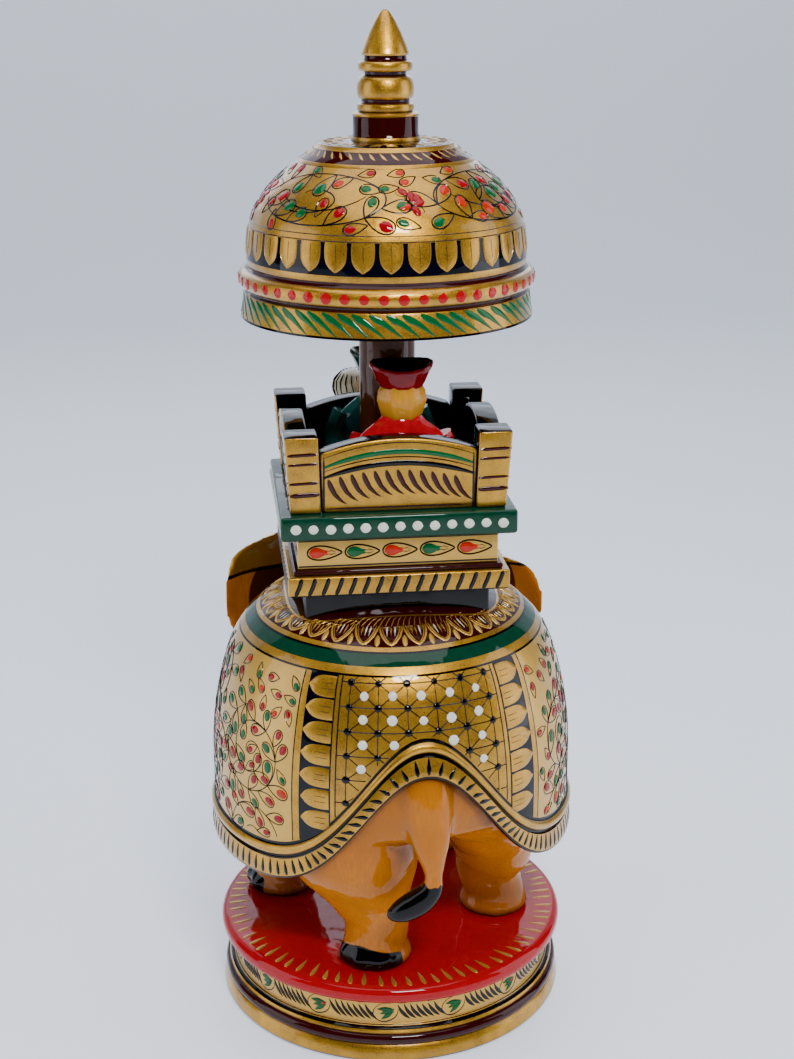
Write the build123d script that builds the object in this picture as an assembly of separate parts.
"""Painted wooden elephant with a howdah and a domed umbrella, on a round turned base.

Millimetres. +Z is up, and the origin is the centre of the base's underside, on its turned axis.
The elephant faces -Y, so its left side is +X. The base, the howdah and the umbrella share the axis.
"""
from build123d import *
import os
from math import atan2, cos, degrees, radians, sin

os.makedirs("parts", exist_ok=True)

# --- Driving dimensions -------------------------------------------------------------------------
PEG_CLEARANCE = 0.05      # radial, round every glued peg and dowel
RUNNING_CLEARANCE = 0.06  # radial, where the umbrella lifts out and where the canopy turns
SOFT_GAP = 0.3            # between a figure and the walls or the post beside it

# Base
PLINTH_R = 40.5
PLINTH_H = 14.8
FOOT_BAND_H = 3.9
BEAD_H = 2.5
BEAD_BULGE = 0.9
COVE_R = 37.4
DISC_R = 40.6
DISC_H = 3.83

# Body, seen from above as a circle a little behind the base's axis
BODY_R = 41.0
BODY_Y = 3.3
BODY_WIDEST_Z = 62.0      # the sides are upright up to here
FLANK_R, FLANK_TURN = 75.0, 20.0
SHOULDER_R, SHOULDER_TURN = 19.0, 62.0
BELLY_Z = 52.0
CLOTH_T = 1.8
HEM_Z = 43.4              # lowest edge of the cloth, at its side lobes
REAR_ARCH_X, REAR_ARCH_Z, REAR_ARCH_HALF = -3.0, 71.5, 31.0
FRONT_ARCH_Z, FRONT_ARCH_HALF = 88.0, 34.0

# Legs as (top x, top y, foot x, foot y)
LEG_TOP_Z = 56.0
LEG_TOP_R = 11.0
ANKLE_R = 6.8
SOLE_R = 8.2
ANKLE_H = 7.0
LEGS = {
    "hind_left": (15.0, 26.0, 6.6, 24.0),
    "hind_right": (-20.0, 18.0, -24.3, 5.0),
    "fore_left": (21.0, -14.0, 25.5, -10.5),
    "fore_right": (-19.0, -22.0, -15.0, -28.0),
}
FOOT_PEG_R, FOOT_PEG_UP, FOOT_PEG_DOWN = 2.0, 6.0, 9.0

# Head, ears, trunk, tusks and tail
HEAD_X, HEAD_Y, HEAD_Z, HEAD_R = -2.5, -43.0, 90.0, 16.5
NECK_R = 17.0
BROW_R, BROW_DY, BROW_DZ = 10.0, -7.0, 7.0
EAR_SPREAD, EAR_H, EAR_T, EAR_SWEEP = 28.0, 40.0, 3.4, 18.0
TRUNK_DOWN = ((-55.0, 86.0, 10.0), (-61.5, 70.0, 7.6), (-62.0, 55.0, 6.2), (-59.0, 42.0, 5.2),
              (-61.5, 33.0, 4.4), (-67.5, 31.0, 3.8), (-71.5, 36.0, 3.3))
TUSK_R, TUSK_TIP_R, TUSK_L, TUSK_SOCKET = 2.2, 0.8, 17.0, 5.0
TUSK_X, TUSK_Y, TUSK_Z, TUSK_PITCH = 8.0, -52.0, 77.0, 30.0
TAIL = ((-2.0, 40.0, 74.0, 6.0), (-3.4, 42.8, 61.0, 4.8), (-4.6, 43.0, 48.5, 2.3),
        (-3.6, 42.4, 43.2, 2.6), (-0.6, 41.8, 40.4, 2.8), (3.2, 41.2, 38.2, 2.3))

# Howdah, from the back upwards: (width, depth, bottom, top)
SLAB_W, SLAB_D, SLAB_BOTTOM, SLAB_TOP = 40.3, 38.0, 94.0, 105.2
STRIPE_W, STRIPE_D, STRIPE_TOP = 47.9, 45.4, 109.5
WAIST_BEAD_W, WAIST_BEAD_D, WAIST_BEAD_TOP = 45.3, 42.9, 110.6
WAIST_W, WAIST_D, WAIST_TOP = 43.3, 40.9, 118.0
LEDGE_W, LEDGE_D, LEDGE_TOP = 50.6, 47.8, 123.3
DOWEL_R, DOWEL_DOWN, DOWEL_UP = 4.0, 18.0, 3.3
POST_FOOT, POST_HEAD, POST_H = 6.6, 7.2, 17.2
POST_SPAN_X, POST_SPAN_Y = 46.1, 43.4
POST_LEAN = 1.1
WALL_T, WALL_SETBACK, WALL_END_H = 5.0, 0.5, 13.2
END_WALL_ARCH, SIDE_WALL_ARCH = 3.0, 4.2

# Umbrella
STEM_R = 6.1
SOCKET_DEPTH = 12.0
CANOPY_BOTTOM = 162.0
CANOPY_RIM_R = 31.5
RIM_H, GROOVE_H, GROOVE_R = 5.4, 1.0, 30.3
RING_H, RING_R = 3.8, 31.9
DOME_R = 30.1
CANOPY_WALL = 4.2
HOLLOW_TOP = 186.0
SPIGOT_R, SPIGOT_H = 3.6, 7.0
CAP_BOTTOM, CAP_R, CAP_TOP_R, CAP_TOP = 192.1, 21.2, 14.5, 198.2
FINIAL_TOP = 224.9
FINIAL_PEG_R, FINIAL_PEG_H = 2.4, 5.0

# Figures
REAR_RIDER_X, FRONT_RIDER_X = -1.8, 0.3
RIDER_W, RIDER_SHOULDER_Z, RIDER_NECK_Z = 19.0, 137.5, 142.5
RIDER_HEAD_R, RIDER_HAT_Z, RIDER_HAT_TOP = 4.9, 148.3, 153.6
RIDER_HAT_R = 5.6
MAHOUT_X, MAHOUT_Y, MAHOUT_TOP = 1.5, -36.5, 141.3
MAHOUT_W, MAHOUT_D = 15.0, 11.0


# --- Helpers ------------------------------------------------------------------------------------
def save(name, solid):
    """Write one sub-part to its STEP file."""
    solid.label = name
    export_step(solid, f"parts/{name}.step")


def turned(points):
    """Solid of revolution about Z from a closed outline of (radius, height) points."""
    with BuildPart() as part:
        with BuildSketch(Plane.XZ):
            with BuildLine():
                Polyline(*points, close=True)
            make_face()
        revolve(axis=Axis.Z)
    return part.part


def block(width, depth, bottom, top, x=0.0, y=0.0):
    """Upright box between two heights."""
    return Pos(x, y, bottom) * Box(width, depth, top - bottom,
                                   align=(Align.CENTER, Align.CENTER, Align.MIN))


def rod(radius, bottom, top, x=0.0, y=0.0):
    """Upright cylinder between two heights."""
    return Pos(x, y, bottom) * Cylinder(radius, top - bottom,
                                        align=(Align.CENTER, Align.CENTER, Align.MIN))


def limb(start, start_r, end, end_r):
    """Tapered round limb between two points."""
    run = Vector(*end) - Vector(*start)
    plane = Plane(origin=start, z_dir=run.normalized())
    if abs(start_r - end_r) < 1e-6:
        return plane * Cylinder(start_r, run.length,
                                align=(Align.CENTER, Align.CENTER, Align.MIN))
    return plane * Cone(start_r, end_r, run.length,
                        align=(Align.CENTER, Align.CENTER, Align.MIN))


def chain(stations):
    """Limbs through (x, y, z, radius) stations, with a ball at each joint."""
    solid = Pos(*stations[0][:3]) * Sphere(stations[0][3])
    for low, high in zip(stations, stations[1:]):
        solid += limb(low[:3], low[3], high[:3], high[3])
        solid += Pos(*high[:3]) * Sphere(high[3])
    return solid


def barrel(inset, bottom):
    """The body's upright sides and rounded back, less an inset, down to a level."""
    with BuildPart() as part:
        with BuildSketch(Plane.XZ):
            with BuildLine():
                side = Line((BODY_R - inset, bottom), (BODY_R - inset, BODY_WIDEST_Z))
                flank = JernArc(side @ 1, (0, 1), FLANK_R - inset, FLANK_TURN)
                shoulder = JernArc(flank @ 1, flank % 1, SHOULDER_R - inset, SHOULDER_TURN)
                back_turn = 90 - FLANK_TURN - SHOULDER_TURN
                back_r = (shoulder @ 1).X / sin(radians(back_turn))
                back = JernArc(shoulder @ 1, shoulder % 1, back_r, back_turn)
                Line(back @ 1, (0, bottom))
                Line((0, bottom), side @ 0)
            make_face()
        revolve(axis=Axis.Z)
    return Pos(0, BODY_Y, 0) * part.part


def arch_cutter(x, top, half_width, y_from, y_to):
    """Prism along Y under an arch that flares out to the hem's side lobes."""
    with BuildPart() as part:
        with BuildSketch(Plane.XZ.offset(-y_from)):
            with BuildLine():
                rise = top - HEM_Z
                curve = Spline((x - half_width, HEM_Z), (x - 0.5 * half_width, HEM_Z + 0.55 * rise),
                               (x, top), (x + 0.5 * half_width, HEM_Z + 0.55 * rise),
                               (x + half_width, HEM_Z),
                               tangents=((1, 0.1), (1, -0.1)))
                Polyline(curve @ 1, (x + half_width, BELLY_Z - 40), (x - half_width, BELLY_Z - 40),
                         curve @ 0)
            make_face()
        extrude(amount=-(y_to - y_from))
    return part.part


# --- Base ---------------------------------------------------------------------------------------
def base_plinth():
    cove_bottom = FOOT_BAND_H + BEAD_H + 1.4
    bead_r = PLINTH_R - 1.4
    with BuildPart() as part:
        with BuildSketch(Plane.XZ):
            with BuildLine():
                Polyline((0, PLINTH_H), (0, 0), (PLINTH_R - 0.3, 0), (PLINTH_R, 0.6),
                         (PLINTH_R - 1.0, FOOT_BAND_H), (bead_r, FOOT_BAND_H))
                ThreePointArc((bead_r, FOOT_BAND_H), (bead_r + BEAD_BULGE, FOOT_BAND_H + BEAD_H / 2),
                              (bead_r - 0.4, FOOT_BAND_H + BEAD_H))
                Polyline((bead_r - 0.4, FOOT_BAND_H + BEAD_H), (bead_r - 0.5, cove_bottom - 0.4),
                         (COVE_R + 0.6, cove_bottom))
                ThreePointArc((COVE_R + 0.6, cove_bottom), (COVE_R, (cove_bottom + PLINTH_H) / 2),
                              (COVE_R + 0.6, PLINTH_H))
                Line((COVE_R + 0.6, PLINTH_H), (0, PLINTH_H))
            make_face()
        revolve(axis=Axis.Z)
    return part.part - foot_pegs(PEG_CLEARANCE)


def base_disc():
    top = PLINTH_H + DISC_H
    with BuildPart() as part:
        with BuildSketch(Plane.XZ):
            with BuildLine():
                Polyline((0, top), (0, PLINTH_H), (DISC_R - 1.2, PLINTH_H))
                ThreePointArc((DISC_R - 1.2, PLINTH_H), (DISC_R, PLINTH_H + 0.55 * DISC_H),
                              (DISC_R - 0.9, top))
                Line((DISC_R - 0.9, top), (0, top))
            make_face()
        revolve(axis=Axis.Z)
    return part.part - foot_pegs(PEG_CLEARANCE)


def foot_pegs(clearance=0.0):
    """Dowels that hold the four feet, through the disc into the plinth."""
    top = PLINTH_H + DISC_H
    pegs = [rod(FOOT_PEG_R + clearance, top - FOOT_PEG_DOWN - clearance, top + FOOT_PEG_UP + clearance,
                foot_x, foot_y)
            for _, _, foot_x, foot_y in LEGS.values()]
    return Compound(pegs) if clearance == 0 else Part() + pegs


# --- Elephant -----------------------------------------------------------------------------------
def leg(top_x, top_y, foot_x, foot_y):
    floor = PLINTH_H + DISC_H
    ankle = (foot_x, foot_y, floor + ANKLE_H)
    hip = (top_x, top_y, LEG_TOP_Z)
    foot = Pos(foot_x, foot_y, floor) * Cone(SOLE_R, ANKLE_R, ANKLE_H,
                                             align=(Align.CENTER, Align.CENTER, Align.MIN))
    return foot + limb(ankle, ANKLE_R, hip, LEG_TOP_R) + Pos(*ankle) * Sphere(ANKLE_R)


def ear(side):
    """A fan-shaped ear that stands out from the side of the head and sweeps back."""
    with BuildPart() as part:
        with BuildSketch(Plane.XZ):
            with BuildLine():
                root_top = (0, 0.42 * EAR_H)
                root_low = (0, -0.15 * EAR_H)
                rim = ThreePointArc(root_top, (0.72 * EAR_SPREAD, 0.46 * EAR_H),
                                    (EAR_SPREAD, 0.1 * EAR_H))
                lobe = ThreePointArc(rim @ 1, (0.86 * EAR_SPREAD, -0.28 * EAR_H),
                                     (0.45 * EAR_SPREAD, -0.54 * EAR_H))
                Polyline(lobe @ 1, root_low, root_top)
            make_face()
        extrude(amount=EAR_T / 2, both=True)
    placed = Pos(HEAD_R * 0.82, HEAD_Y + 4, HEAD_Z - 6) * Rot(0, 0, EAR_SWEEP) * part.part
    if side < 0:
        placed = placed.mirror(Plane.YZ)
    return Pos(HEAD_X, 0, 0) * placed


def tusk(side, clearance=0.0):
    start = Vector(HEAD_X + side * TUSK_X, TUSK_Y + TUSK_SOCKET, TUSK_Z + TUSK_SOCKET * 0.5)
    turn = radians(TUSK_PITCH)
    heading = Vector(side * 0.22, -cos(turn), -sin(turn)).normalized()
    start = start - heading * clearance
    end = start + heading * (TUSK_L + TUSK_SOCKET)
    return limb(tuple(start), TUSK_R + clearance, tuple(end), TUSK_TIP_R + clearance)


def howdah_dowel(clearance=0.0):
    return rod(DOWEL_R + clearance, SLAB_TOP - DOWEL_DOWN - clearance, SLAB_TOP + DOWEL_UP + clearance)


def saddle_cloth():
    shell = barrel(0, HEM_Z) - barrel(CLOTH_T, HEM_Z - 1)
    shell -= arch_cutter(REAR_ARCH_X, REAR_ARCH_Z, REAR_ARCH_HALF, BODY_Y + 8, BODY_Y + BODY_R + 8)
    shell -= arch_cutter(0, FRONT_ARCH_Z, FRONT_ARCH_HALF, BODY_Y - BODY_R - 8, BODY_Y - 10)
    return shell - howdah_dowel(PEG_CLEARANCE)


def elephant_body(cloth):
    body = barrel(CLOTH_T, BELLY_Z)
    for place in LEGS.values():
        body += leg(*place) & barrel(CLOTH_T, 0)
    head = (HEAD_X, HEAD_Y, HEAD_Z)
    body += limb((0, -18, 82), NECK_R, head, HEAD_R)
    body += Pos(*head) * Sphere(HEAD_R)
    body += Pos(HEAD_X, HEAD_Y + BROW_DY, HEAD_Z + BROW_DZ) * Sphere(BROW_R)
    body += chain([(HEAD_X, *station) for station in TRUNK_DOWN])
    body += chain(TAIL)
    body += ear(1) + ear(-1)
    body -= cloth
    body -= foot_pegs(PEG_CLEARANCE)
    body -= howdah_dowel(PEG_CLEARANCE)
    for side in (1, -1):
        body -= tusk(side, PEG_CLEARANCE)
    return body


# --- Howdah -------------------------------------------------------------------------------------
def corner_post(side_x, side_y):
    """A square post that leans outwards and grows a little towards its head."""
    foot_x = side_x * (POST_SPAN_X - POST_FOOT) / 2
    foot_y = side_y * (POST_SPAN_Y - POST_FOOT) / 2
    head_x = side_x * ((POST_SPAN_X - POST_HEAD) / 2 + POST_LEAN)
    head_y = side_y * ((POST_SPAN_Y - POST_HEAD) / 2 + POST_LEAN)
    with BuildPart() as part:
        with BuildSketch(Plane.XY.offset(LEDGE_TOP)):
            with Locations((foot_x, foot_y)):
                Rectangle(POST_FOOT, POST_FOOT)
        with BuildSketch(Plane.XY.offset(LEDGE_TOP + POST_H)):
            with Locations((head_x, head_y)):
                Rectangle(POST_HEAD, POST_HEAD)
        loft()
    return part.part


def wall_panel(span, arch):
    """An arched panel between two posts, leaning outwards with them; outer face on +Y."""
    low = span / 2 - POST_FOOT - 0.05
    lean_at_end = POST_LEAN * WALL_END_H / POST_H
    high = low + lean_at_end * 0.5
    with BuildPart() as part:
        with BuildSketch(Plane.XZ):
            with BuildLine():
                Polyline((high, WALL_END_H), (low, 0), (-low, 0), (-high, WALL_END_H))
                ThreePointArc((-high, WALL_END_H), (0, WALL_END_H + arch), (high, WALL_END_H))
            make_face()
        extrude(amount=WALL_T)
    lean = degrees(atan2(POST_LEAN, POST_H))
    leaning = Rot(-lean, 0, 0) * part.part
    return leaning & block(200, 200, 0, 100)


def wall(direction):
    """One of the four walls: direction is rear, front, left or right."""
    is_end = direction in ("rear", "front")
    span, depth = (POST_SPAN_X, POST_SPAN_Y) if is_end else (POST_SPAN_Y, POST_SPAN_X)
    panel = wall_panel(span, END_WALL_ARCH if is_end else SIDE_WALL_ARCH)
    turn = {"rear": 0, "left": -90, "front": 180, "right": 90}[direction]
    return Rot(0, 0, turn) * Pos(0, depth / 2 - WALL_SETBACK, LEDGE_TOP) * panel


def stem_socket():
    return rod(STEM_R + RUNNING_CLEARANCE, LEDGE_TOP - SOCKET_DEPTH, LEDGE_TOP + 1)


# --- Figures ------------------------------------------------------------------------------------
def rider(x, side_y):
    """A seated passenger with a broad-brimmed hat, between the stem and an end wall."""
    wall_face = POST_SPAN_Y / 2 - WALL_SETBACK - WALL_T
    depth = wall_face - STEM_R - 2 * SOFT_GAP
    y = side_y * (STEM_R + SOFT_GAP + depth / 2)
    with BuildPart() as part:
        with BuildSketch(Plane.XY.offset(LEDGE_TOP)):
            Rectangle(RIDER_W, depth)
        with BuildSketch(Plane.XY.offset(RIDER_SHOULDER_Z)):
            Rectangle(RIDER_W * 0.95, depth)
        loft()
        with BuildSketch(Plane.XY.offset(RIDER_SHOULDER_Z)):
            Rectangle(RIDER_W * 0.95, depth)
        with BuildSketch(Plane.XY.offset(RIDER_NECK_Z)):
            Rectangle(RIDER_HEAD_R * 1.6, depth * 0.7)
        loft()
    body = part.part + rod(RIDER_HEAD_R, RIDER_NECK_Z - 1, RIDER_HAT_Z)
    hat = Pos(0, 0, RIDER_HAT_Z) * Cone(RIDER_HEAD_R * 0.8, RIDER_HAT_R, RIDER_HAT_TOP - RIDER_HAT_Z,
                                        align=(Align.CENTER, Align.CENTER, Align.MIN))
    clear = rod(STEM_R + SOFT_GAP, LEDGE_TOP - 1, HOLLOW_TOP)
    return Pos(x, y, 0) * (body + hat) - clear


def mahout(cloth, body):
    """The driver, astride the neck in front of the howdah."""
    seat = HEAD_Z + 10
    shoulder = MAHOUT_TOP - 17
    figure = block(MAHOUT_W, MAHOUT_D, seat, shoulder, MAHOUT_X, MAHOUT_Y)
    figure += rod(4.6, shoulder, MAHOUT_TOP - 7, MAHOUT_X, MAHOUT_Y)
    figure += rod(7.6, MAHOUT_TOP - 7, MAHOUT_TOP, MAHOUT_X, MAHOUT_Y)
    return figure - body - cloth


# --- Umbrella -----------------------------------------------------------------------------------
def umbrella_stem():
    bottom = LEDGE_TOP - SOCKET_DEPTH
    return rod(STEM_R, bottom, HOLLOW_TOP) + rod(SPIGOT_R, HOLLOW_TOP, HOLLOW_TOP + SPIGOT_H)


def canopy_dome():
    """Turned dome with a flared rim, a bead ring and a hollow underside."""
    rim_in = CANOPY_RIM_R - CANOPY_WALL
    rim_top = CANOPY_BOTTOM + RIM_H
    ring_low = rim_top + GROOVE_H
    ring_high = ring_low + RING_H
    dome_foot = ring_high + GROOVE_H
    with BuildPart() as part:
        with BuildSketch(Plane.XZ):
            with BuildLine():
                Polyline((CANOPY_RIM_R, CANOPY_BOTTOM), (GROOVE_R + 0.3, rim_top),
                         (GROOVE_R, rim_top + GROOVE_H / 2), (GROOVE_R + 0.3, ring_low))
                ThreePointArc((GROOVE_R + 0.3, ring_low), (RING_R, (ring_low + ring_high) / 2),
                              (GROOVE_R + 0.2, ring_high))
                Line((GROOVE_R + 0.2, ring_high), (DOME_R, dome_foot))
                Spline((DOME_R, dome_foot), (DOME_R - 1.1, 182.7), (DOME_R - 6.6, 190.0),
                       (CAP_R, CAP_BOTTOM))
                Polyline((CAP_R, CAP_BOTTOM), (0, CAP_BOTTOM), (0, HOLLOW_TOP), (9, HOLLOW_TOP))
                ThreePointArc((9, HOLLOW_TOP), (rim_in - 4.4, CANOPY_BOTTOM + 15),
                              (rim_in, CANOPY_BOTTOM))
                Line((rim_in, CANOPY_BOTTOM), (CANOPY_RIM_R, CANOPY_BOTTOM))
            make_face()
        revolve(axis=Axis.Z)
    return part.part - rod(SPIGOT_R + RUNNING_CLEARANCE, HOLLOW_TOP - 1, CAP_BOTTOM + 1)


def canopy_cap():
    """Stepped disc on top of the dome, bored for the stem's spigot and the finial's peg."""
    cap = turned([(0, CAP_BOTTOM), (CAP_R, CAP_BOTTOM), (CAP_TOP_R + 3.5, CAP_BOTTOM + 2.7),
                  (CAP_TOP_R + 0.3, CAP_TOP - 0.8), (CAP_TOP_R, CAP_TOP), (0, CAP_TOP)])
    cap -= rod(SPIGOT_R + RUNNING_CLEARANCE, CAP_BOTTOM - 1, HOLLOW_TOP + SPIGOT_H + 0.3)
    return cap - rod(FINIAL_PEG_R + PEG_CLEARANCE, CAP_TOP - FINIAL_PEG_H + 1, CAP_TOP + 1)


def finial():
    z = CAP_TOP
    outline = [(0, z), (7.4, z), (7.2, z + 1.2), (6.93, z + 1.6), (6.93, z + 5.6), (5.7, z + 6.0),
               (5.9, z + 6.6), (5.9, z + 7.6), (5.15, z + 8.3), (5.4, z + 8.8), (6.0, z + 10.8),
               (5.3, z + 12.4), (4.3, z + 13.6), (4.45, z + 14.1), (5.7, z + 14.9), (5.7, z + 16.2),
               (4.5, z + 17.2), (4.85, z + 18.2), (3.2, z + 22.2), (0.35, FINIAL_TOP), (0, FINIAL_TOP)]
    return turned(outline) + rod(FINIAL_PEG_R, z - FINIAL_PEG_H + 1.2, z)


# --- Build every node ---------------------------------------------------------------------------
def main():
    cloth = saddle_cloth()
    body = elephant_body(cloth)
    nodes = {
        "base_plinth": base_plinth(),
        "base_disc": base_disc(),
        "foot_pegs": foot_pegs(),
        "elephant_body": body,
        "saddle_cloth": cloth,
        "tusk_left": tusk(1),
        "tusk_right": tusk(-1),
        "howdah_dowel": howdah_dowel(),
        "mahout": mahout(cloth, body),
        "passenger_rear": rider(REAR_RIDER_X, 1),
        "passenger_front": rider(FRONT_RIDER_X, -1),
        "umbrella_stem": umbrella_stem(),
        "canopy_dome": canopy_dome(),
        "canopy_cap": canopy_cap(),
        "finial": finial(),
    }
    peg_hole = howdah_dowel(PEG_CLEARANCE)
    back = barrel(0, HEM_Z)
    nodes["howdah_foot_slab"] = block(SLAB_W, SLAB_D, SLAB_BOTTOM, SLAB_TOP) - back - peg_hole
    nodes["howdah_striped_moulding"] = block(STRIPE_W, STRIPE_D, SLAB_TOP, STRIPE_TOP) - peg_hole
    nodes["howdah_waist_bead"] = block(WAIST_BEAD_W, WAIST_BEAD_D, STRIPE_TOP, WAIST_BEAD_TOP)
    nodes["howdah_waist"] = block(WAIST_W, WAIST_D, WAIST_BEAD_TOP, WAIST_TOP) - stem_socket()
    nodes["howdah_ledge"] = block(LEDGE_W, LEDGE_D, WAIST_TOP, LEDGE_TOP) - stem_socket()
    for direction in ("rear", "front", "left", "right"):
        nodes[f"howdah_wall_{direction}"] = wall(direction)
    for end, side_y in (("rear", 1), ("front", -1)):
        for side, side_x in (("left", 1), ("right", -1)):
            nodes[f"corner_post_{end}_{side}"] = corner_post(side_x, side_y)
    for name, solid in nodes.items():
        save(name, solid)


main()
